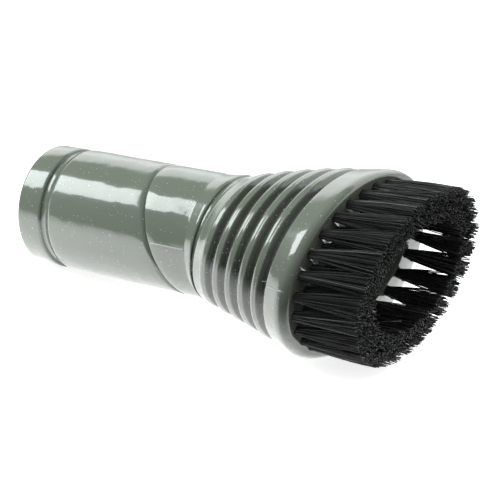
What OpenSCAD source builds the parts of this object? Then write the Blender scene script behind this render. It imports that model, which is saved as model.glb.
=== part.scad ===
// Vacuum dusting brush: a socket for the wand, a slanted swivel and an oval brush head.
// It lies as it comes to rest, on the edge of its socket and the lower edge of its rim.
// Each piece is drawn about the neck axis, with x from the open end, and then laid down.

/* [Neck] */
// Outer radius of the neck and of the collar
neck_r = 20; // [19:0.25:22]
// Wall of the socket, round the bore that the wand pushes into
neck_wall = 2.5; // [2:0.1:2.8]
// Depth of the bore down to the shoulder that stops the wand
socket_depth = 34; // [24:1:36]
// Step of that shoulder
shoulder_step = 1.2; // [0.6:0.1:1.6]
// Length of the neck on its axis, from the open end to the swivel
neck_length = 53.7; // [50:0.5:70]
// How far the bead round the open end is turned down from the neck
bead_step = 0.2; // [0:0.1:0.4]
// Length of that bead
bead_length = 9.8; // [7:0.1:14]
// Depth of the groove behind the bead
groove_depth = 1.2; // [0.6:0.1:1.4]
// Width of the flat bottom of the groove
groove_flat = 1.2; // [0.8:0.1:2]
// Length of the bevel that climbs out of the groove
groove_bevel = 2.2; // [1:0.1:3]
// Rounding of the open end
end_round = 1; // [0.4:0.1:1.2]
// Lead-in chamfer of the bore
lead_in = 0.5; // [0.2:0.1:0.7]

/* [Swivel] */
// Slant of the swivel plane, half of the bend that a half turn gives
swivel_slant = 19.4; // [14:0.2:22]
// Gap between the two slanted faces
swivel_gap = 0.3; // [0.2:0.05:0.5]
// Rounding of the neck's slanted end
slant_round = 1.8; // [1:0.1:2]
// Thickness of the slanted wall that carries the spigot
end_wall = 2.2; // [1.8:0.1:3]
// Wall of the spigot
spigot_wall = 1.8; // [1.4:0.1:2.4]
// Running clearance round the spigot
running_fit = 0.1; // [0.05:0.01:0.1]
// Thickness of the collar's ledge, which the spigot turns in
ledge = 7; // [5:0.25:7]
// How far the ledge stands in from the collar's bore
ledge_width = 2.8; // [2.4:0.1:3.4]
// Play of the ledge between the slanted wall and the barb
barb_play = 0.15; // [0.1:0.05:0.3]
// How far the barb stands out behind the ledge
barb_height = 0.6; // [0.4:0.05:0.6]
// Length of the barb
barb_length = 1.5; // [1:0.1:1.6]
// Width of the slots that let the spigot spring
slot_width = 1.6; // [1:0.1:2.4]
// Length of those slots
slot_length = 5; // [3:0.25:6]
// Number of slots
slot_count = 4; // [3:1:6]

/* [Brush head] */
// Length of the collar on its axis, from the swivel to the start of the flare
collar_length = 14.3; // [13:0.1:20]
// Wall of the collar
collar_wall = 2.2; // [2:0.1:2.4]
// Length of the flare, from the collar to the front edge of the rim
flare_length = 47.7; // [46:0.1:56]
// Half height of the rim at its front edge
rim_half_height = 30; // [28.5:0.25:32]
// Half width of the rim at its front edge
rim_half_width = 38.2; // [36.5:0.25:42]
// Lean of the face and of the ridges, their tops ahead of their feet
face_lean = 12; // [8:0.2:13]
// How far the middle of the flare is bowed upwards
flare_bow = 0.7; // [0:0.1:1.6]
// How far the middle of the flare swells in height beyond a straight taper
flare_swell = 0.75; // [0:0.05:1]
// How far the rim sits below the neck axis
rim_drop = 0.3; // [0:0.1:0.8]
// Edge radius of the collar at the swivel
collar_edge = 0.4; // [0.2:0.1:0.6]
// Distance from the collar to the narrow groove
lip_length = 3.2; // [3:0.1:5]
// How far the start of the flare is hollowed
lip_dip = 0.15; // [0:0.05:0.3]
// Width of the narrow groove
lip_groove_width = 1.4; // [0.8:0.1:1.6]
// Depth of the narrow groove
lip_groove_depth = 1; // [0.6:0.1:1.4]
// Bevel of the narrow groove's edges
lip_bevel = 0.3; // [0.1:0.05:0.3]
// Number of ridges behind the rim
ridge_count = 5; // [3:1:5]
// Pitch of the ridges
ridge_pitch = 6.4; // [6:0.1:6.5]
// Distance from the last ridge's groove to the front edge of the rim
rim_band = 6.9; // [6.6:0.1:7.4]
// Depth of the grooves between the ridges
ridge_depth = 3; // [2:0.1:3.2]
// Width of a ridge's crest
crest_width = 2.3; // [1.8:0.1:2.6]
// How far a crest falls towards its front
crest_fall = 0.3; // [0:0.05:0.4]
// Rounding of a crest's front edge
crest_round = 1.2; // [0.8:0.1:1.4]
// Edge radius of a crest's back edge
crest_edge = 0.4; // [0.2:0.05:0.5]
// Width of the flat bottom between two ridges
groove_floor = 1; // [0.6:0.1:1.2]
// How far the rounded front edge of the rim comes in
rim_edge = 1.9; // [1.5:0.1:2.1]
// How far the face stands ahead of the rim's front edge
rim_reach = 2.7; // [2.2:0.1:3]

/* [Mouth] */
// Wall between the mouth and the holes of the inner row
mouth_wall = 0.9; // [0.8:0.1:1.1]
// Rounding of the mouth's edge
mouth_round = 0.8; // [0.4:0.1:1]

/* [Tufts] */
// Number of tufts in the outer row
outer_count = 28; // [20:1:30]
// Number of tufts in the inner row
inner_count = 23; // [16:1:24]
// Distance from the rim's front edge to the middle of the outer row
outer_inset = 4.2; // [3.8:0.1:4.3]
// Distance between the two rows
row_step = 5.5; // [5.2:0.1:5.6]
// Radius of a tuft in its hole
tuft_r = 1.5; // [1.2:0.05:1.6]
// Radius of a tuft at its cut end
tuft_tip_r = 2.3; // [1.6:0.1:2.5]
// Depth of the holes
hole_depth = 6; // [5:0.25:6.5]
// Clearance of a tuft in its hole
hole_fit = 0.05; // [0.03:0.01:0.1]
// Length of the bristles in front of the face, on the axis
bristle_length = 20.8; // [16:0.2:24]
// Lean of the plane that the bristles are cut in
cut_lean = 14.2; // [10:0.2:16]
// How far the sides of the brush lean inwards
side_lean = 3.6; // [0:0.1:5]
// Thickness of a tuft's anchor
anchor_thickness = 0.4; // [0.3:0.05:0.6]
// Height of a tuft's anchor
anchor_height = 2; // [1.5:0.1:2.5]
// Clearance between an anchor and its tuft
anchor_fit = 0.05; // [0.03:0.01:0.1]

/* [Hidden] */
plastic = [0.46, 0.49, 0.44];
bristle = [0.09, 0.09, 0.1];
wire = [0.72, 0.72, 0.7];

// Sides of the drawn rings, of the turned faces and of the small holes
sides = 60;
turned = 96;
small = 24;
// How far a cut runs past what it cuts, and the reach of the largest ones
overlap = 1;
far = 200;
// Angles of a rounded edge, and its middle point when it is drawn with one
arc = [22.5, 45, 67.5, 90];
mid = 1 - cos(45);
// Slope of a groove's steep walls, along the neck
draft = 0.05;
// Where a ridge's slope meets the groove's floor
slope_end = 0.9;

socket_r = neck_r - neck_wall;
shoulder_r = socket_r - shoulder_step;
bead_r = neck_r - bead_step;
groove_r = bead_r - groove_depth;
groove_end = bead_length + groove_flat + groove_bevel;
tube_end = socket_depth + overlap;
collar_start = neck_length + swivel_gap / cos(swivel_slant);
flare_start = neck_length + collar_length;
rim_front = flare_start + flare_length;
face_x = rim_front + rim_reach;
collar_bore_r = neck_r - collar_wall;
ledge_r = collar_bore_r - ledge_width;
spigot_r = ledge_r - running_fit;
passage_r = spigot_r - spigot_wall;
ledge_back = swivel_gap + ledge;
barb_start = ledge_back + barb_play;
spigot_length = barb_start + barb_length;
first_ridge = rim_front - rim_band - ridge_count * ridge_pitch;
// Length in which the rings take up the face's lean, long enough that they don't cross at the foot
lean_length = 1.15 * neck_r * sin(face_lean);
outer_row = [rim_half_height - outer_inset, rim_half_width - outer_inset];
inner_row = [for (v = outer_row) v - row_step];
mouth = [for (v = inner_row) v - tuft_r - mouth_wall];
// Where the first tuft of a row stands, in steps of the row, and the steps that measure a row
outer_start = 0.29;
inner_start = 0.17;
steps = 360;
// A point of the plane that the bristles are cut in
cut_x = face_x + bristle_length;
cut_z = -0.9;
// How far a tuft runs straight before it leans
tuft_stub = 0.6;
// How far the drawn end of the neck stays inside the turned tube where they meet
tube_step = 0.03;

// A ring is [x, height of its middle, lean, half height, half width].
function flare_ring(x, depth) =
    let (k = max(0, (x - flare_start) / flare_length), middle = 4 * k * (1 - k))
    [x,
     flare_bow * middle - rim_drop * k * k,
     -face_lean * min(1, (x - flare_start) / lean_length),
     neck_r + (rim_half_height - neck_r) * k + flare_swell * middle - depth,
     neck_r + (rim_half_width - neck_r) * k - depth];
function face_ring(reach, half_height, half_width) =
    let (r = flare_ring(rim_front, 0))
    [rim_front + reach, r[1], r[2], half_height, half_width];
function ring_point(r, a) =
    [r[0] - r[3] * sin(a) * sin(r[2]), r[4] * cos(a), r[1] + r[3] * sin(a) * cos(r[2])];
function slanted_ring(x, lean, radius) = [x, 0, lean, radius / cos(lean), radius];

// Turns and closes rows of points into a ring-shaped solid.
module ring_loft(rings) {
    count = len(rings);
    points = [for (r = rings) for (i = [0 : sides - 1]) ring_point(r, 360 * i / sides)];
    faces = [for (j = [0 : count - 1]) for (i = [0 : sides - 1]) each
        let (k = (j + 1) % count, n = (i + 1) % sides,
             a = j * sides + i, b = j * sides + n, c = k * sides + n, d = k * sides + i)
        [[a, c, b], [a, d, c]]];
    polyhedron(points, faces);
}

// Places what is drawn about Z on the neck axis, from a distance along it.
module on_neck_axis(x = 0) {
    translate([x, 0, 0]) rotate([0, 90, 0]) children();
}

// Places what is drawn about Z on the swivel's own axis, from the neck's slanted face.
module on_swivel_axis(s = 0) {
    translate([neck_length, 0, 0]) rotate([0, 90 - swivel_slant, 0]) translate([0, 0, s]) children();
}

// Everything on the wand's side of the slanted plane, at a distance along the swivel's axis.
module behind_swivel(s) {
    on_swivel_axis(s - far) translate([-far / 2, -far / 2, 0]) cube(far);
}

// What a round edge leaves of a square corner at the origin.
module corner(r) {
    difference() {
        translate([-r, -r]) square(r + overlap);
        translate([-r, -r]) circle(r, $fn = turned / 2);
    }
}

module bead_profile() {
    difference() {
        polygon([
            [shoulder_r - overlap, 0], [bead_r, 0], [bead_r, bead_length], [groove_r, bead_length],
            [groove_r, bead_length + groove_flat], [neck_r, groove_end],
            [neck_r, tube_end], [shoulder_r - overlap, tube_end]]);
        translate([bead_r, 0]) mirror([0, 1]) corner(end_round);
        translate([bead_r, bead_length]) corner(end_round / 2);
    }
}

// The slanted end starts a hair inside the turned tube, so that its flats stay within it.
neck_end_rings = concat(
    [slanted_ring(tube_end, 0, passage_r - overlap),
     slanted_ring(tube_end, 0, neck_r - tube_step),
     slanted_ring((tube_end + neck_length) / 2, swivel_slant / 2, neck_r),
     slanted_ring(neck_length - slant_round, swivel_slant, neck_r)],
    [for (a = arc)
        slanted_ring(neck_length - slant_round * (1 - sin(a)), swivel_slant,
            neck_r - slant_round * (1 - cos(a)))],
    [slanted_ring(neck_length, swivel_slant, passage_r - overlap)]);

module neck_outside() {
    on_neck_axis() rotate_extrude($fn = turned) bead_profile();
    ring_loft(neck_end_rings);
}

module spigot() {
    difference() {
        union() {
            on_swivel_axis(-end_wall) cylinder(r = spigot_r, h = end_wall + spigot_length, $fn = turned);
            on_swivel_axis(barb_start) rotate_extrude($fn = turned) polygon([
                [passage_r, 0], [spigot_r + barb_height, 0], [spigot_r + barb_height, barb_length / 3],
                [spigot_r, barb_length], [passage_r, barb_length]]);
        }
        for (i = [0 : slot_count - 1])
            on_swivel_axis(spigot_length - slot_length) rotate([0, 0, (i + 0.5) * 360 / slot_count])
                translate([0, -slot_width / 2, 0])
                    cube([spigot_r + overlap, slot_width, slot_length + overlap]);
    }
}

module neck_bore() {
    on_neck_axis(-overlap) cylinder(r = socket_r, h = socket_depth + overlap, $fn = turned);
    on_neck_axis(-overlap)
        cylinder(r1 = socket_r + lead_in + overlap, r2 = socket_r, h = lead_in + overlap, $fn = turned);
    intersection() {
        on_neck_axis(socket_depth - overlap) cylinder(r = shoulder_r, h = neck_length, $fn = turned);
        behind_swivel(-end_wall);
    }
    on_swivel_axis(-end_wall - overlap) cylinder(r = passage_r, h = far / 4, $fn = turned);
}

module neck() {
    color(plastic) laid_down() difference() {
        union() {
            neck_outside();
            spigot();
        }
        neck_bore();
    }
}

// The outline of the flare as [x, depth] pairs: a ridge's back wall, its front slope, the narrow groove.
function ridge_back(x) = [
    [x, ridge_depth], [x + draft, crest_edge], [x + draft + mid * crest_edge, mid * crest_edge],
    [x + draft + crest_edge, 0]];
function ridge_front(x) = concat(
    [for (a = [0 : 30 : 60]) [
        x + crest_width + crest_round * (sin(a) - sin(30)),
        crest_fall + crest_round * (1 - cos(a))]],
    [[x + ridge_pitch - 2 * groove_floor, slope_end * ridge_depth],
     [x + ridge_pitch - groove_floor, ridge_depth]]);
function lip_groove(x) = [
    [x - lip_bevel, 0], [x, lip_bevel], [x + draft, lip_groove_depth],
    [x + lip_groove_width - draft, lip_groove_depth], [x + lip_groove_width, lip_bevel],
    [x + lip_groove_width + lip_bevel, 0]];
flare_outline = concat(
    [[flare_start + lip_length / 2, lip_dip]],
    lip_groove(flare_start + lip_length),
    [for (i = [0 : ridge_count - 1]) each
        let (x = first_ridge + i * ridge_pitch)
        concat(i == 0 ? [[x, mid * crest_fall]] : ridge_back(x), ridge_front(x))],
    ridge_back(rim_front - rim_band),
    [[rim_front, 0]]);

head_rings = concat(
    [slanted_ring(collar_start, swivel_slant, passage_r),
     slanted_ring(collar_start, swivel_slant, neck_r - collar_edge),
     slanted_ring(collar_start + mid * collar_edge, swivel_slant, neck_r - mid * collar_edge),
     slanted_ring(collar_start + collar_edge, swivel_slant, neck_r),
     slanted_ring(collar_start + collar_length / 2, swivel_slant / 2, neck_r),
     slanted_ring(flare_start, 0, neck_r)],
    [for (p = flare_outline) flare_ring(p[0], p[1])],
    [for (a = arc) face_ring(rim_reach * sin(a),
        rim_half_height - rim_edge * (1 - cos(a)), rim_half_width - rim_edge * (1 - cos(a)))],
    [face_ring(rim_reach, mouth[0] + mouth_round, mouth[1] + mouth_round),
     face_ring(rim_reach - mid * mouth_round, mouth[0] + mid * mouth_round, mouth[1] + mid * mouth_round),
     face_ring(rim_reach - mouth_round, mouth[0], mouth[1]),
     face_ring(-hole_depth, mouth[0], mouth[1]),
     slanted_ring(flare_start, 0, collar_bore_r),
     slanted_ring(neck_length + ledge_back / cos(swivel_slant), swivel_slant, collar_bore_r),
     slanted_ring(neck_length + ledge_back / cos(swivel_slant), swivel_slant, passage_r)]);

module brush_head() {
    color(plastic) laid_down() difference() {
        ring_loft(head_rings);
        on_swivel_axis(-overlap)
            cylinder(r = ledge_r, h = ledge_back + 2 * overlap, $fn = turned);
        tuft_holes(outer_row, outer_count, outer_start);
        tuft_holes(inner_row, inner_count, inner_start);
    }
}

// Angles that step round an oval row by equal lengths.
function row_point(row, a) = [row[1] * cos(a), row[0] * sin(a)];
function row_step_length(row, i) =
    norm(row_point(row, (i + 1) * 360 / steps) - row_point(row, i * 360 / steps));
function row_lengths(row) = [for (i = 0, s = 0; i <= steps; s = s + row_step_length(row, i), i = i + 1) s];
function row_angles(row, count, start) =
    let (s = row_lengths(row), whole = s[steps], table = [for (i = [0 : steps]) [s[i], i * 360 / steps]])
    [for (i = [0 : count - 1]) 180 + lookup((i + start) * whole / count, table)];

// The foot of a tuft in the face, and the middle of its cut end.
function tuft_foot(row, a) = ring_point(face_ring(rim_reach, row[0], row[1]), a);
function tuft_end(row, a) =
    let (foot = tuft_foot(row, a), y = foot[1] * (1 - side_lean / outer_row[1]))
    [cut_x + (foot[2] - cut_z) * tan(cut_lean), y, foot[2]];

// Places what is drawn about Z on a tuft's hole, which runs along the neck, with Z out of the face.
module at_foot(row, a, z = 0) {
    translate(tuft_foot(row, a)) on_neck_axis(z) children();
}

module tuft_holes(row, count, start) {
    for (a = row_angles(row, count, start))
        at_foot(row, a, -hole_depth) cylinder(r = tuft_r, h = hole_depth + 2 * overlap, $fn = small);
}

// The bristles stand straight in the hole and lean once they are out of it.
module tuft(row, a) {
    line = tuft_end(row, a) - tuft_foot(row, a) - [tuft_stub, 0, 0];
    reach = norm(line) + 2 * overlap;
    foot_r = tuft_r - hole_fit;
    difference() {
        union() {
            at_foot(row, a, hole_fit - hole_depth)
                cylinder(r = foot_r, h = hole_depth - hole_fit + tuft_stub, $fn = small);
            translate(tuft_foot(row, a) + [tuft_stub, 0, 0])
                rotate([0, 90, atan2(line[1], line[0])])
                    cylinder(r1 = foot_r - hole_fit, r2 = tuft_tip_r, h = reach, $fn = small);
        }
        translate([cut_x, 0, cut_z]) rotate([0, cut_lean, 0]) translate([0, -far / 2, -far / 2]) cube(far);
        at_foot(row, a, -hole_depth - overlap) translate([-anchor_thickness / 2 - anchor_fit, -tuft_r, 0])
            cube([anchor_thickness + 2 * anchor_fit, 2 * tuft_r, anchor_height + 2 * anchor_fit + overlap]);
    }
}

module tuft_anchor(row, a) {
    half = sqrt(pow(tuft_r - anchor_fit, 2) - pow(anchor_thickness / 2, 2));
    at_foot(row, a, anchor_fit - hole_depth) translate([-anchor_thickness / 2, -half, 0])
        cube([anchor_thickness, 2 * half, anchor_height]);
}

module outer_tufts() {
    color(bristle) laid_down()
        for (a = row_angles(outer_row, outer_count, outer_start)) tuft(outer_row, a);
}

module inner_tufts() {
    color(bristle) laid_down()
        for (a = row_angles(inner_row, inner_count, inner_start)) tuft(inner_row, a);
}

module outer_anchors() {
    color(wire) laid_down()
        for (a = row_angles(outer_row, outer_count, outer_start)) tuft_anchor(outer_row, a);
}

module inner_anchors() {
    color(wire) laid_down()
        for (a = row_angles(inner_row, inner_count, inner_start)) tuft_anchor(inner_row, a);
}

// Height and length of a point of the lower or upper outline once the brush is tipped by an angle.
function tipped_z(p, t) = p[0] * sin(t) + p[1] * cos(t);
function tipped_x(p, t) = p[0] * cos(t) - p[1] * sin(t);
rim_low = [for (r = head_rings) let (p = ring_point(r, -90)) [p[0], p[2]]];
function neck_low(t) = tipped_z([end_round, end_round - bead_r], t) - end_round;
function head_low(t) = min([for (p = rim_low) tipped_z(p, t)]);
function settle(t, n) = n == 0 ? t :
    settle(t + atan2(neck_low(t) - head_low(t), rim_front - rim_half_height * sin(face_lean)), n - 1);
rest_tilt = settle(0, 8);
low_z = neck_low(rest_tilt);
low_x = tipped_x([end_round, bead_r - end_round], rest_tilt) - end_round;
tuft_tips = [for (a = row_angles(outer_row, outer_count, outer_start)) tuft_end(outer_row, a)];
tip_slope = sin(cut_lean) * cos(rest_tilt) - cos(cut_lean) * sin(rest_tilt);
high_x = max([for (p = tuft_tips) tipped_x([p[0], p[2]], rest_tilt)])
    + tuft_tip_r * tip_slope / cos(cut_lean);

// Tips the brush about the open end until both its ends touch the ground.
module laid_down() {
    translate([-(low_x + high_x) / 2, 0, -low_z]) rotate([0, -rest_tilt, 0]) children();
}

neck();
brush_head();
outer_tufts();
inner_tufts();
outer_anchors();
inner_anchors();
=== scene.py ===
import math

import bpy
import numpy as np
from mathutils import Matrix, Vector


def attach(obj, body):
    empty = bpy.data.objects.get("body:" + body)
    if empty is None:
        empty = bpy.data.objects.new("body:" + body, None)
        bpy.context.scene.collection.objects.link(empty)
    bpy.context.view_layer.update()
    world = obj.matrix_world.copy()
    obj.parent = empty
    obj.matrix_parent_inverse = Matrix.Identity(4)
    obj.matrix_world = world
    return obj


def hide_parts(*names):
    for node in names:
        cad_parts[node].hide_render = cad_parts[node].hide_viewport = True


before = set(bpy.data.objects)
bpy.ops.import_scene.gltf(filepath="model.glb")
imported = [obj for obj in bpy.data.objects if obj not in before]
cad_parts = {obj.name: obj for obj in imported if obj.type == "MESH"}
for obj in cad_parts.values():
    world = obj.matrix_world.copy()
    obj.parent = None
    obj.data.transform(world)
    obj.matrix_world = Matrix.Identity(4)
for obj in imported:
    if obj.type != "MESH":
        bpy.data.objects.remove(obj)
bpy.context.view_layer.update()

# Neck: the grey-green moulded tube that pushes onto the wand. Its open end is turned down to a bead with a
# groove behind it, and its other end is closed by a slanted wall with the slotted spigot that the brush head
# turns on. It is drawn in millimetres about its own axis, ring by ring, and then laid down.
slant = 19.4
spigot_radius = 14.9
passage_radius = 13.1
neck_sides = 128
tilt_as_it_lies = 5.18399


def place_ring(ring, before=None):
    x, z, lean, half_height, half_width = ring
    x0, z0, lean0, height0, width0 = before or (0, 0, 0, 1, 1)
    if lean0:
        bpy.ops.transform.rotate(value=-math.radians(lean0), orient_axis="Y", center_override=(x0, 0, z0))
    bpy.ops.transform.translate(value=(x - x0, 0, z - z0))
    bpy.ops.transform.resize(value=(1, half_width / width0, half_height / height0), center_override=(x, 0, z))
    if lean:
        bpy.ops.transform.rotate(value=math.radians(lean), orient_axis="Y", center_override=(x, 0, z))


def draw_rings(name, rings, sides, closed=True):
    bpy.ops.object.select_all(action="DESELECT")
    bpy.ops.mesh.primitive_circle_add(
        vertices=sides, radius=1, location=(0, 0, 0), rotation=(0, math.pi / 2, 0)
    )
    piece = bpy.context.object
    piece.name = name
    bpy.ops.object.transform_apply(location=False, rotation=True, scale=False)
    bpy.ops.object.mode_set(mode="EDIT")
    bpy.ops.mesh.select_all(action="SELECT")
    place_ring(rings[0])
    for before, ring in zip(rings, rings[1:] + rings[:1] * closed):
        bpy.ops.mesh.extrude_edges_move()
        place_ring(ring, before)
    bpy.ops.mesh.select_all(action="SELECT")
    bpy.ops.mesh.remove_doubles(threshold=0.002)
    bpy.ops.mesh.normals_make_consistent(inside=False)
    bpy.ops.object.mode_set(mode="OBJECT")
    return piece


def tube_ring(x, radius, lean=0.0):
    return (x, 0, lean, radius / math.cos(math.radians(lean)), radius)


def swivel_ring(s, radius):
    a = math.radians(slant)
    return (53.7 + s * math.cos(a), s * math.sin(a), slant, radius, radius)


def lay_down(piece):
    bpy.ops.object.select_all(action="DESELECT")
    piece.select_set(True)
    bpy.context.view_layer.objects.active = piece
    piece.scale = (0.001, 0.001, 0.001)
    piece.rotation_euler = (0, -math.radians(tilt_as_it_lies), 0)
    piece.location = (-0.0707751, 0, 0.0196327)
    bpy.ops.object.transform_apply(location=True, rotation=True, scale=True)


def cut_with(piece, cutter):
    modifier = piece.modifiers.new("cut", "BOOLEAN")
    modifier.operation = "DIFFERENCE"
    modifier.solver = "EXACT"
    modifier.object = cutter
    bpy.ops.object.select_all(action="DESELECT")
    piece.select_set(True)
    bpy.context.view_layer.objects.active = piece
    bpy.ops.object.modifier_apply(modifier="cut")
    bpy.data.objects.remove(cutter)


bead = [(0, 18.0), (0, 18.8)] + [
    (1 - math.cos(math.radians(a)), 18.8 + math.sin(math.radians(a))) for a in (15, 30, 45, 60, 75, 90)
]
bead += [(3, 19.8), (6.5, 19.8)] + [
    (8.75 + math.sin(math.radians(a)), 18.8 + math.cos(math.radians(a))) for a in (0, 15, 30, 45, 60, 75)
]
bead += [(9.8, 18.93), (10.1, 18.86), (10.6, 18.83), (11.1, 18.85), (11.5, 18.92), (11.8, 19.05)]
bead += [(12.5, 19.42), (13.2, 19.78), (13.4, 19.89), (13.65, 19.97), (14.0, 20)]
bead += [(20, 20), (27, 20), (34, 20)]
neck_rings = [tube_ring(x, r) for x, r in bead]
neck_rings += [tube_ring(35 + 16.9 * k, 20, slant * k) for k in (0.2, 0.4, 0.6, 0.8, 1)]
neck_rings += [
    tube_ring(51.9 + 1.8 * math.sin(math.radians(a)), 18.2 + 1.8 * math.cos(math.radians(a)), slant)
    for a in (12, 25, 38, 51, 64, 77, 90)
]
neck_rings += [swivel_ring(0, spigot_radius), swivel_ring(7.45, spigot_radius), swivel_ring(7.45, 15.5)]
neck_rings += [swivel_ring(7.95, 15.5), swivel_ring(8.95, spigot_radius), swivel_ring(8.95, passage_radius)]
neck_rings += [swivel_ring(-2.2, passage_radius), tube_ring(51.367, 16.3, slant), tube_ring(34, 16.3)]
neck_rings += [tube_ring(34, 17.5), tube_ring(17, 17.5), tube_ring(0.5, 17.5)]
neck = draw_rings("neck_moulding", neck_rings, neck_sides)

bpy.ops.object.select_all(action="DESELECT")
bpy.ops.mesh.primitive_cube_add(size=1, location=(0, 0, 0))
slots = bpy.context.object
bpy.ops.object.mode_set(mode="EDIT")
bpy.ops.transform.resize(value=(1.6, 40, 6), center_override=(0, 0, 0))
bpy.ops.mesh.duplicate()
bpy.ops.transform.rotate(value=math.pi / 2, orient_axis="Z", center_override=(0, 0, 0))
bpy.ops.mesh.select_all(action="SELECT")
bpy.ops.transform.translate(value=(0, 0, 6.95))
bpy.ops.transform.rotate(value=math.pi / 4, orient_axis="Z", center_override=(0, 0, 0))
bpy.ops.object.mode_set(mode="OBJECT")
slots.rotation_euler = (0, math.radians(90 - slant), 0)
slots.location = (53.7, 0, 0)
bpy.ops.object.transform_apply(location=True, rotation=True, scale=True)
cut_with(neck, slots)
lay_down(neck)
bpy.ops.object.shade_smooth_by_angle(angle=math.radians(32))


# The plastic is one grey-green moulding grade with fine pale flecks in it, polished in the mould, with the
# slight waves that such a surface keeps.
def fleck_group():
    group = bpy.data.node_groups.new("pale_flecks", "ShaderNodeTree")
    group.interface.new_socket("Base", in_out="INPUT", socket_type="NodeSocketColor")
    group.interface.new_socket("Fleck", in_out="INPUT", socket_type="NodeSocketColor")
    share = group.interface.new_socket("Amount", in_out="INPUT", socket_type="NodeSocketFloat")
    share.default_value = 1.0
    group.interface.new_socket("Color", in_out="OUTPUT", socket_type="NodeSocketColor")
    group.interface.new_socket("Mask", in_out="OUTPUT", socket_type="NodeSocketFloat")
    n, link = group.nodes, group.links.new
    inside, outside = n.new("NodeGroupInput"), n.new("NodeGroupOutput")
    place = n.new("ShaderNodeTexCoord")
    cells = n.new("ShaderNodeTexVoronoi")
    cells.inputs["Scale"].default_value = 1250
    chosen = n.new("ShaderNodeSeparateColor")
    size = n.new("ShaderNodeMapRange")
    size.inputs["From Min"].default_value = 0.35
    size.inputs["From Max"].default_value = 1.0
    size.inputs["To Min"].default_value = 0.0
    size.inputs["To Max"].default_value = 0.165
    near = n.new("ShaderNodeMath")
    near.operation = "LESS_THAN"
    amount = n.new("ShaderNodeMath")
    amount.operation = "MULTIPLY"
    clouds = n.new("ShaderNodeTexNoise")
    clouds.inputs["Scale"].default_value = 35
    clouds.inputs["Detail"].default_value = 3
    shade = n.new("ShaderNodeMapRange")
    shade.inputs["To Min"].default_value = 0.95
    shade.inputs["To Max"].default_value = 1.05
    tinted = n.new("ShaderNodeVectorMath")
    tinted.operation = "SCALE"
    mix = n.new("ShaderNodeMix")
    mix.data_type = "RGBA"
    link(place.outputs["Object"], cells.inputs["Vector"])
    link(place.outputs["Object"], clouds.inputs["Vector"])
    link(cells.outputs["Color"], chosen.inputs["Color"])
    link(chosen.outputs["Red"], size.inputs["Value"])
    link(cells.outputs["Distance"], near.inputs[0])
    link(size.outputs["Result"], near.inputs[1])
    link(near.outputs[0], amount.inputs[0])
    link(inside.outputs["Amount"], amount.inputs[1])
    link(clouds.outputs["Fac"], shade.inputs["Value"])
    link(inside.outputs["Base"], tinted.inputs[0])
    link(shade.outputs["Result"], tinted.inputs["Scale"])
    link(amount.outputs[0], mix.inputs[0])
    link(tinted.outputs["Vector"], mix.inputs[6])
    link(inside.outputs["Fleck"], mix.inputs[7])
    link(mix.outputs[2], outside.inputs["Color"])
    link(amount.outputs[0], outside.inputs["Mask"])
    return group


pale_flecks = fleck_group()


def parting_group():
    group = bpy.data.node_groups.new("parting_line", "ShaderNodeTree")
    group.interface.new_socket("Mask", in_out="OUTPUT", socket_type="NodeSocketFloat")
    n, link = group.nodes, group.links.new
    outside = n.new("NodeGroupOutput")
    place = n.new("ShaderNodeTexCoord")
    masks = []
    for direction, offset, low, high in (
        ((-0.090354, 0, 0.99591), -0.0259472, 0.00025, 0.00008),
        ((0.99591, 0, 0.090354), 0.0687117 - 0.1113, 0.0058, 0.0054),
        ((0.99591, 0, 0.090354), 0.0687117 - 0.0613, 0.0066, 0.0062),
    ):
        dot = n.new("ShaderNodeVectorMath")
        dot.operation = "DOT_PRODUCT"
        dot.inputs[1].default_value = direction
        apart = n.new("ShaderNodeMath")
        apart.inputs[1].default_value = offset
        size = n.new("ShaderNodeMath")
        size.operation = "ABSOLUTE"
        near = n.new("ShaderNodeMapRange")
        near.inputs["From Min"].default_value = low
        near.inputs["From Max"].default_value = high
        link(place.outputs["Object"], dot.inputs[0])
        link(dot.outputs["Value"], apart.inputs[0])
        link(apart.outputs[0], size.inputs[0])
        link(size.outputs[0], near.inputs["Value"])
        masks.append(near.outputs["Result"])
    reach = n.new("ShaderNodeMath")
    reach.operation = "MAXIMUM"
    link(masks[1], reach.inputs[0])
    link(masks[2], reach.inputs[1])
    line = n.new("ShaderNodeMath")
    line.operation = "MULTIPLY"
    link(masks[0], line.inputs[0])
    link(reach.outputs[0], line.inputs[1])
    link(line.outputs[0], outside.inputs["Mask"])
    return group


parting_line = parting_group()


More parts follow.
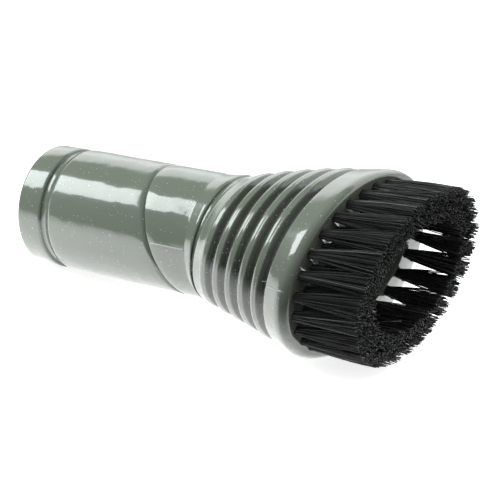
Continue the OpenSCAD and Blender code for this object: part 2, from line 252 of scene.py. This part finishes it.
def moulded_plastic(name, base, fleck, roughness):
    made = bpy.data.materials.new(name)
    made.use_nodes = True
    n, link = made.node_tree.nodes, made.node_tree.links.new
    shader = n["Principled BSDF"]
    shader.inputs["IOR"].default_value = 1.55
    shader.inputs["Coat Weight"].default_value = 1.0
    shader.inputs["Coat Roughness"].default_value = 0.05
    # Painted shade: the base colour is darkened where ambient occlusion finds the surface closed in within 5
    # mm, in the grooves, ridge valleys, seams and the mouth, down to a twentieth where it is most closed in.
    hollow_occlusion = n.new("ShaderNodeAmbientOcclusion")
    hollow_occlusion.only_local = True
    hollow_occlusion.samples = 12
    hollow_occlusion.inputs["Distance"].default_value = 0.005
    depth = n.new("ShaderNodeMapRange")
    depth.inputs["From Min"].default_value = 0.5
    depth.inputs["From Max"].default_value = 0.88
    depth.inputs["To Min"].default_value = 0.05
    painted_shade_base = n.new("ShaderNodeVectorMath")
    painted_shade_base.operation = "SCALE"
    painted_shade_base.inputs[0].default_value = base[:3]
    flecks = n.new("ShaderNodeGroup")
    flecks.node_tree = pale_flecks
    link(hollow_occlusion.outputs["AO"], depth.inputs["Value"])
    link(depth.outputs["Result"], painted_shade_base.inputs["Scale"])
    link(painted_shade_base.outputs["Vector"], flecks.inputs["Base"])
    flecks.inputs["Fleck"].default_value = fleck
    place = n.new("ShaderNodeTexCoord")
    waves = n.new("ShaderNodeTexNoise")
    waves.inputs["Scale"].default_value = 140
    waves.inputs["Detail"].default_value = 1.3
    bump = n.new("ShaderNodeBump")
    bump.inputs["Strength"].default_value = 0.6
    bump.inputs["Distance"].default_value = 0.0004
    line = n.new("ShaderNodeGroup")
    line.node_tree = parting_line
    raised = n.new("ShaderNodeBump")
    raised.inputs["Strength"].default_value = 0.8
    raised.inputs["Distance"].default_value = 0.0002
    grade = n.new("ShaderNodeMapRange")
    grade.inputs["To Min"].default_value = roughness * 0.8
    grade.inputs["To Max"].default_value = roughness * 1.25
    link(place.outputs["Object"], waves.inputs["Vector"])
    link(waves.outputs["Fac"], bump.inputs["Height"])
    link(waves.outputs["Fac"], grade.inputs["Value"])
    link(grade.outputs["Result"], shader.inputs["Roughness"])
    link(line.outputs["Mask"], raised.inputs["Height"])
    link(bump.outputs["Normal"], raised.inputs["Normal"])
    link(raised.outputs["Normal"], shader.inputs["Normal"])
    link(raised.outputs["Normal"], shader.inputs["Coat Normal"])
    paler = n.new("ShaderNodeMix")
    paler.data_type = "RGBA"
    paler.inputs[7].default_value = fleck
    share = n.new("ShaderNodeMath")
    share.operation = "MULTIPLY"
    share.inputs[1].default_value = 0.16
    link(line.outputs["Mask"], share.inputs[0])
    link(share.outputs[0], paler.inputs[0])
    link(flecks.outputs["Color"], paler.inputs[6])
    link(paler.outputs[2], shader.inputs["Base Color"])
    return made


grey_green = moulded_plastic("grey_green_plastic", (0.159, 0.182, 0.146, 1), (0.72, 0.74, 0.7, 1), 0.16)
neck.data.materials.clear()
neck.data.materials.append(grey_green)
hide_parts("neck")
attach(neck, "neck")

# Brush head: the second moulding, in the same plastic. A round collar with a slanted end and an inner ledge
# runs into an oval flare with a fine groove, five ridges and a broad rim, and the leaning face is drilled
# for the tufts round the oval mouth.
head_sides = 144
flare_start = 68.0
rim_front = 115.7
rim_lean = -12.0


def flare_ring(x, depth):
    k = max(0.0, (x - flare_start) / 47.7)
    lean = rim_lean * min(1, (x - flare_start) / 4.78)
    middle = 4 * k * (1 - k)
    return (x, 0.7 * middle - 0.3 * k * k, lean, 20 + 10 * k + 0.75 * middle - depth, 20 + 18.2 * k - depth)


def face_ring(reach, half_height, half_width):
    return (rim_front + reach, -0.3, rim_lean, half_height, half_width)


def ridge_back(x):
    turns = [math.radians(a) for a in (0, 20, 40, 60, 80)]
    return [(x, 2.75), (x + 0.03, 0.4)] + [
        (x + 0.43 - 0.4 * math.cos(t), 0.4 - 0.4 * math.sin(t)) for t in turns[1:]
    ] + [(x + 0.5, 0.0)]


def ridge_front(x):
    crest = [(x + 0.95, 0.05), (x + 1.35, 0.15)]
    crest += [
        (x + 2.3 + 1.2 * (math.sin(math.radians(a)) - 0.5), 0.3 + 1.2 * (1 - math.cos(math.radians(a))))
        for a in (0, 12, 24, 36, 48, 60)
    ]
    foot = [(x + 3.4, 1.8), (x + 3.9, 2.35), (x + 4.4, 2.7), (x + 5.0, 2.92), (x + 5.7, 3.0), (x + 6.25, 2.95)]
    return crest + foot


outline = [(68.3, 0.0), (69.6, 0.12), (70.4, 0.07), (70.8, 0.09), (71.1, 0.19), (71.32, 0.4)]
outline += [(71.45, 0.75), (71.6, 0.95), (71.8, 1.02), (72.3, 1.02), (72.6, 0.88), (72.8, 0.55)]
outline += [(73.05, 0.38), (73.4, 0.3), (74.0, 0.26), (76.55, 0.27), (76.72, 0.22), (76.8, 0.12)]
outline += [(76.95, 0.02)] + ridge_front(76.8)
for first in (83.2, 89.6, 96.0, 102.4):
    outline += ridge_back(first) + ridge_front(first)
outline += ridge_back(108.8) + [(111, 0.0), (113.5, 0.0), (rim_front, 0.0)]
mouth = (17.9, 26.1)

head_rings = [swivel_ring(0.5, 15.0), swivel_ring(0.3, 15.2)]
head_rings += [
    tube_ring(54.018 + 0.4 * (1 - math.cos(math.radians(a))), 19.6 + 0.4 * math.sin(math.radians(a)), slant)
    for a in (0, 30, 60, 90)
]
head_rings += [tube_ring(54.418 + 13.582 * k, 20, slant * (1 - k)) for k in (0.2, 0.4, 0.6, 0.8, 0.98, 1)]
head_rings += [flare_ring(x, depth) for x, depth in outline]
head_rings += [
    face_ring(
        2.7 * math.sin(math.radians(a)),
        30 - 1.9 * (1 - math.cos(math.radians(a))),
        38.2 - 1.9 * (1 - math.cos(math.radians(a))),
    )
    for a in (11, 22, 34, 45, 56, 68, 79, 90)
]
head_rings += [
    face_ring(2.7 - 0.8 * (1 - math.cos(math.radians(a))), mouth[0] + 0.8 * (1 - math.sin(math.radians(a))),
              mouth[1] + 0.8 * (1 - math.sin(math.radians(a))))
    for a in (0, 30, 60, 90)
]
inner_start, inner_end = face_ring(-6, *mouth), tube_ring(flare_start, 17.8)
head_rings += [
    tuple(p + (q - p) * k for p, q in zip(inner_start, inner_end)) for k in (0, 0.2, 0.4, 0.6, 0.8, 1)
]
head_rings += [tube_ring(61.44, 17.8, slant), swivel_ring(7.3, 15.3), swivel_ring(7.0, 15.0)]
head = draw_rings("brush_head_moulding", head_rings, head_sides)


def row_places(half_height, half_width, count, start):
    turns = [math.radians(i) for i in range(361)]
    steps = [0.0]
    for a, b in zip(turns, turns[1:]):
        sideways = half_width * (math.cos(b) - math.cos(a))
        upwards = half_height * (math.sin(b) - math.sin(a))
        steps.append(steps[-1] + math.hypot(sideways, upwards))
    places = []
    for i in range(count):
        a = math.pi + float(np.interp((i + start) * steps[-1] / count, steps, turns))
        h = half_height * math.sin(a)
        x = 118.4 + h * math.sin(math.radians(12))
        places.append((x, half_width * math.cos(a), h * math.cos(math.radians(12)) - 0.3))
    return places


outer_places = row_places(25.8, 34.0, 28, 0.29)
inner_places = row_places(20.3, 28.5, 23, 0.17)

bpy.ops.object.select_all(action="DESELECT")
bpy.ops.mesh.primitive_cylinder_add(
    vertices=24, radius=1.5, depth=8, location=(0, 0, 0), rotation=(0, math.pi / 2, 0)
)
drill = bpy.context.object
bpy.ops.object.transform_apply(location=False, rotation=True, scale=False)
bpy.ops.object.mode_set(mode="EDIT")
bpy.ops.transform.translate(value=(-2, 0, 0))
spot = (0, 0, 0)
for place in outer_places + inner_places:
    bpy.ops.mesh.duplicate()
    bpy.ops.transform.translate(value=tuple(p - q for p, q in zip(place, spot)))
    spot = place
bpy.ops.object.mode_set(mode="OBJECT")
cut_with(head, drill)
lay_down(head)
bpy.ops.object.shade_smooth_by_angle(angle=math.radians(32))
head.data.materials.clear()
head.data.materials.append(grey_green)
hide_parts("brush_head")
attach(head, "head")

# Tufts: black nylon strands, packed in two rows of drilled holes. They stand straight in the hole, spread
# and lean inwards over their length, and are cut in one slanting plane.
def one_strand():
    bpy.ops.object.select_all(action="DESELECT")
    bpy.ops.mesh.primitive_circle_add(vertices=5, radius=1, fill_type="NGON", location=(0, 0, 0))
    strand = bpy.context.object
    bpy.ops.object.mode_set(mode="EDIT")
    for reach in (0.16, 0.24, 0.2, 0.2, 0.2):
        bpy.ops.mesh.extrude_region_move(TRANSFORM_OT_translate={"value": (0, 0, reach)})
    bpy.ops.mesh.select_all(action="SELECT")
    bpy.ops.mesh.normals_make_consistent(inside=False)
    bpy.ops.object.mode_set(mode="OBJECT")
    return strand


def tuft_row(name, places, half_height, half_width, fullness, seed):
    strand = one_strand()
    points = np.array([v.co[:] for v in strand.data.vertices])
    faces = [tuple(p.vertices) for p in strand.data.polygons]
    chance = np.random.default_rng(seed)
    tilt = math.radians(tilt_as_it_lies)
    along = points[:, 2:3]
    all_points, all_faces, shades, glossy = [], [], [], []
    strands = 96
    for place in places:
        foot = np.array(place)
        outward = np.array([0, foot[1] / half_width**2, foot[2] / half_height**2])
        outward /= np.linalg.norm(outward)
        along_row = np.array([0, -outward[2], outward[1]])
        lean = chance.normal(0, 0.3)
        spread = chance.uniform(3.2, 4.2) * fullness * (1 - 0.3 * np.clip(foot[1] / half_width, 0, 1))
        twist = chance.uniform(0, 2 * math.pi)
        for i in range(strands):
            r = math.sqrt((i + 0.5) / strands)
            turn = twist + i * 2.39996
            side = np.array([0, math.cos(turn), math.sin(turn)])
            start = foot + side * 1.32 * r - np.array([3.9, 0, 0])
            out = foot + side * 1.36 * r + np.array([0.6, 0, 0])
            tip = foot + outward * np.clip(2.9 * r * (side @ outward) + chance.normal(0, 0.35), -4, 2.5)
            tip += along_row * (spread * r * (side @ along_row) + chance.normal(0, 0.5) + lean)
            if chance.uniform(0, 1) < 0.012:
                tip[1:] += (chance.normal(0, 0.8), abs(chance.normal(0, 1.9)))
            tip[1] -= foot[1] * 3.6 / 34
            tip[0] = 139.14 + (tip[2] + 0.9) * math.tan(math.radians(14.2)) - abs(chance.normal(0, 0.35))
            k = np.clip((along - 0.16) / 0.84, 0, 1)
            line = np.where(along <= 0.16, start + (out - start) * along / 0.16, out + (tip - out) * k)
            line[:, 1:] += (tip - out)[1:] * (k * (1 - k) * 0.3 * fullness**2)
            bow = chance.normal(0, 0.22, 2)
            line[:, 1:] += np.sin(k * math.pi) * bow
            width = 0.15 * (1 - 0.15 * k)
            flat = np.zeros((len(points), 1))
            ring = np.concatenate([flat, points[:, :1] * width, points[:, 1:2] * width], 1)
            first = len(all_points) * len(points)
            all_faces.extend(tuple(v + first for v in f) for f in faces)
            line += ring
            line[:, 2] = np.minimum(line[:, 2], (40.17 - line[:, 0] * math.sin(tilt)) / math.cos(tilt))
            all_points.append(line)
            shades.append(chance.uniform(0, 1))
            glossy.append(chance.uniform(0, 1) < 0.12)
    bpy.data.objects.remove(strand)
    mesh = bpy.data.meshes.new(name)
    mesh.from_pydata(np.concatenate(all_points).tolist(), [], all_faces)
    shade = mesh.attributes.new("strand_shade", "FLOAT", "POINT")
    shade.data.foreach_set("value", np.repeat(shades, len(points)).astype(np.float32))
    # Painted highlight, in part: about one strand in eight, and the cut ends of the palest strands, get the
    # glint nylon. That nylon is glossier and also paler in colour, so these strands and ends show as bright
    # glints.
    cut = [min(points[v, 2] for v in f) > 0.99 for f in faces]
    pale_end = np.tile(cut, len(glossy)) & np.repeat(np.array(shades) > 0.76, len(faces))
    shine = np.repeat(glossy, len(faces)) | pale_end
    mesh.polygons.foreach_set("material_index", shine.astype(np.int32))
    row = bpy.data.objects.new(name, mesh)
    bpy.context.collection.objects.link(row)
    lay_down(row)
    bpy.ops.object.mode_set(mode="EDIT")
    bpy.ops.mesh.select_all(action="SELECT")
    bpy.ops.mesh.normals_make_consistent(inside=False)
    bpy.ops.object.mode_set(mode="OBJECT")
    bpy.ops.object.shade_smooth_by_angle(angle=math.radians(80))
    return row


def black_nylon(name, level, lowest, palest):
    made = bpy.data.materials.new(name)
    made.use_nodes = True
    n, link = made.node_tree.nodes, made.node_tree.links.new
    shader = n["Principled BSDF"]
    shader.inputs["Specular IOR Level"].default_value = level
    own = n.new("ShaderNodeAttribute")
    own.attribute_name = "strand_shade"
    tone = n.new("ShaderNodeMapRange")
    tone.inputs["To Min"].default_value = 0.014
    tone.inputs["To Max"].default_value = palest
    gloss = n.new("ShaderNodeMapRange")
    gloss.inputs["To Min"].default_value = lowest
    gloss.inputs["To Max"].default_value = lowest + 0.15
    link(own.outputs["Fac"], tone.inputs["Value"])
    link(own.outputs["Fac"], gloss.inputs["Value"])
    link(tone.outputs["Result"], shader.inputs["Base Color"])
    link(gloss.outputs["Result"], shader.inputs["Roughness"])
    return made


# The glint nylon's paler colour, up to 0.16 against 0.052, is a painted highlight; its higher specular level
# and lower roughness make it a glossier finish.
dull_nylon = black_nylon("black_nylon", 0.36, 0.37, 0.052)
bright_nylon = black_nylon("black_nylon_glint", 1.0, 0.22, 0.16)
for name, places, half_height, half_width, fullness, seed, node in (
    ("outer_bristles", outer_places, 25.8, 34.0, 1.0, 11, "outer_tufts"),
    ("inner_bristles", inner_places, 20.3, 28.5, 1.15, 23, "inner_tufts"),
):
    row = tuft_row(name, places, half_height, half_width, fullness, seed)
    row.data.materials.append(dull_nylon)
    row.data.materials.append(bright_nylon)
    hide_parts(node)
    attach(row, "head")

# Anchors: short flat pieces of drawn steel wire, driven with each folded bundle into the bottom of its hole.
def drawn_wire():
    made = bpy.data.materials.new("drawn_wire")
    made.use_nodes = True
    n, link = made.node_tree.nodes, made.node_tree.links.new
    shader = n["Principled BSDF"]
    shader.inputs["Metallic"].default_value = 1
    place = n.new("ShaderNodeTexCoord")
    lines = n.new("ShaderNodeTexNoise")
    lines.inputs["Scale"].default_value = 2500
    tone = n.new("ShaderNodeMapRange")
    tone.inputs["To Min"].default_value = 0.5
    tone.inputs["To Max"].default_value = 0.68
    rough = n.new("ShaderNodeMapRange")
    rough.inputs["To Min"].default_value = 0.25
    rough.inputs["To Max"].default_value = 0.45
    link(place.outputs["Object"], lines.inputs["Vector"])
    link(lines.outputs["Fac"], tone.inputs["Value"])
    link(lines.outputs["Fac"], rough.inputs["Value"])
    link(tone.outputs["Result"], shader.inputs["Base Color"])
    link(rough.outputs["Result"], shader.inputs["Roughness"])
    return made


wire = drawn_wire()
for node in ("outer_anchors", "inner_anchors"):
    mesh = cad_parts[node].data
    mesh.materials.clear()
    mesh.materials.append(wire)

# Stage: a white table with no edge to be seen, and an even white surround. As in a room with its windows at
# the left, the light comes from there and from behind. What the plastic mirrors in front is dark, and the far
# end of the table and the low part of the surround are dimmer in it; on the table this darkness is painted
# shade in the paper's colour and glow.
def factor(n, link, value, low, high, from_value=0.0, to_value=1.0):
    step = n.new("ShaderNodeMapRange")
    step.interpolation_type = "SMOOTHSTEP"
    step.inputs["From Min"].default_value = low
    step.inputs["From Max"].default_value = high
    step.inputs["To Min"].default_value = from_value
    step.inputs["To Max"].default_value = to_value
    link(value, step.inputs["Value"])
    return step.outputs["Result"]


def chosen_by(n, link, where, otherwise, there):
    pick = n.new("ShaderNodeMix")
    pick.data_type = "FLOAT"
    link(where, pick.inputs[0])
    for value, socket in ((otherwise, pick.inputs[2]), (there, pick.inputs[3])):
        if isinstance(value, float):
            socket.default_value = value
        else:
            link(value, socket)
    return pick.outputs[0]


bpy.ops.object.select_all(action="DESELECT")
bpy.ops.mesh.primitive_plane_add(size=1.2, location=(0, 0.35, 0))
table = bpy.context.object
bpy.ops.object.mode_set(mode="EDIT")
bpy.ops.transform.resize(value=(1.5, 1, 1))
bpy.ops.object.mode_set(mode="OBJECT")
bpy.ops.object.transform_apply(location=True, rotation=True, scale=True)
table.name = "table"
paper = bpy.data.materials.new("white_paper")
paper.use_nodes = True
n, link = paper.node_tree.nodes, paper.node_tree.links.new
paper_shader = n["Principled BSDF"]
paper_shader.inputs["Roughness"].default_value = 0.9
paper_shader.inputs["Specular IOR Level"].default_value = 0.1
path = n.new("ShaderNodeLightPath")
place = n.new("ShaderNodeTexCoord")
across = n.new("ShaderNodeVectorMath")
across.operation = "DOT_PRODUCT"
across.inputs[1].default_value = (-0.5, 1, 0)
split = n.new("ShaderNodeSeparateXYZ")
link(place.outputs["Object"], across.inputs[0])
link(place.outputs["Object"], split.inputs[0])
# Painted shadow and painted shade on the paper: for all rays but the camera's, its colour, and for glossy rays
# its glow, fade to black toward the front-right of the brush, where the brush shades it, and toward the front,
# where the paper would end. They also drop to less than half at the far end. The camera sees the paper evenly
# white.
painted_lit_paper = n.new("ShaderNodeMath")
painted_lit_paper.operation = "MULTIPLY"
link(factor(n, link, across.outputs["Value"], -0.085, -0.045), painted_lit_paper.inputs[0])
link(factor(n, link, split.outputs["Y"], -0.17, -0.04, 0.0, 0.95), painted_lit_paper.inputs[1])
paper_painted_shade = n.new("ShaderNodeMath")
paper_painted_shade.operation = "MULTIPLY"
link(painted_lit_paper.outputs[0], paper_painted_shade.inputs[0])
link(factor(n, link, split.outputs["Y"], 0.05, 0.14, 1.0, 0.45), paper_painted_shade.inputs[1])
shown = chosen_by(n, link, path.outputs["Is Camera Ray"], paper_painted_shade.outputs[0], 0.9)
link(shown, paper_shader.inputs["Base Color"])
lift = chosen_by(n, link, path.outputs["Is Camera Ray"], 0.0, 0.78)
lift = chosen_by(n, link, path.outputs["Is Glossy Ray"], lift, paper_painted_shade.outputs[0])
paper_shader.inputs["Emission Color"].default_value = (1, 1, 1, 1)
link(lift, paper_shader.inputs["Emission Strength"])
table.data.materials.append(paper)

world = bpy.data.worlds.new("surround")
bpy.context.scene.world = world
world.use_nodes = True
n, link = world.node_tree.nodes, world.node_tree.links.new
background = n["Background"]
path = n.new("ShaderNodeLightPath")
tint = n.new("ShaderNodeMix")
tint.data_type = "RGBA"
tint.inputs[6].default_value = (0.965, 1, 0.99, 1)
tint.inputs[7].default_value = (1, 1, 1, 1)
link(path.outputs["Is Camera Ray"], tint.inputs[0])
link(tint.outputs[2], background.inputs["Color"])
where = n.new("ShaderNodeTexCoord")


def facing(x, y, z):
    dot = n.new("ShaderNodeVectorMath")
    dot.operation = "DOT_PRODUCT"
    dot.inputs[1].default_value = (x, y, z)
    link(where.outputs["Generated"], dot.inputs[0])
    return dot.outputs["Value"]


behind = n.new("ShaderNodeMath")
behind.operation = "MULTIPLY"
link(factor(n, link, facing(0, 0.848, -0.53), -0.08, 0.08, 0.05, 1.5), behind.inputs[0])
link(factor(n, link, facing(0, 0, 1), 0.02, 0.35, 0.4, 1.0), behind.inputs[1])
room = factor(n, link, facing(-0.75, 0.15, 0.64), -0.55, 0.75, 0.38, 1.68)
strength = chosen_by(n, link, path.outputs["Is Glossy Ray"], room, behind.outputs[0])
strength = chosen_by(n, link, path.outputs["Is Camera Ray"], strength, 1.0)
link(strength, background.inputs["Strength"])

towards = Vector((-0.67, -0.43, 0.605)).normalized()
across = Vector((1, 0, 0)).cross(towards).normalized()
window = bpy.data.lights.new("window", "AREA")
window.shape = "RECTANGLE"
window.size = 0.29
window.size_y = 0.315
window.energy = 1.76
window.color = (0.92, 1.0, 0.985)
lamp = bpy.data.objects.new("window", window)
bpy.context.collection.objects.link(lamp)
along = across.cross(towards)
lamp_place = Vector((-0.03, 0, 0.035)) + towards * 0.7 + along * 0.065
lamp.matrix_world = Matrix.LocRotScale(lamp_place, Matrix((along, across, towards)).transposed(), None)

# Camera: a long lens from a step away, over the socket's side, as in the photograph.
lens = bpy.data.cameras.new("camera")
lens.lens = 139.17
lens.sensor_width = 36
lens.clip_start = 0.05
camera = bpy.data.objects.new("camera", lens)
bpy.context.collection.objects.link(camera)
camera.location = (0.3213823, -0.4757579, 0.2111203)
camera.rotation_euler = (math.radians(71.7791), math.radians(-5.3816), math.radians(35.1686))
bpy.context.scene.camera = camera
bpy.context.scene.view_settings.view_transform = "Standard"
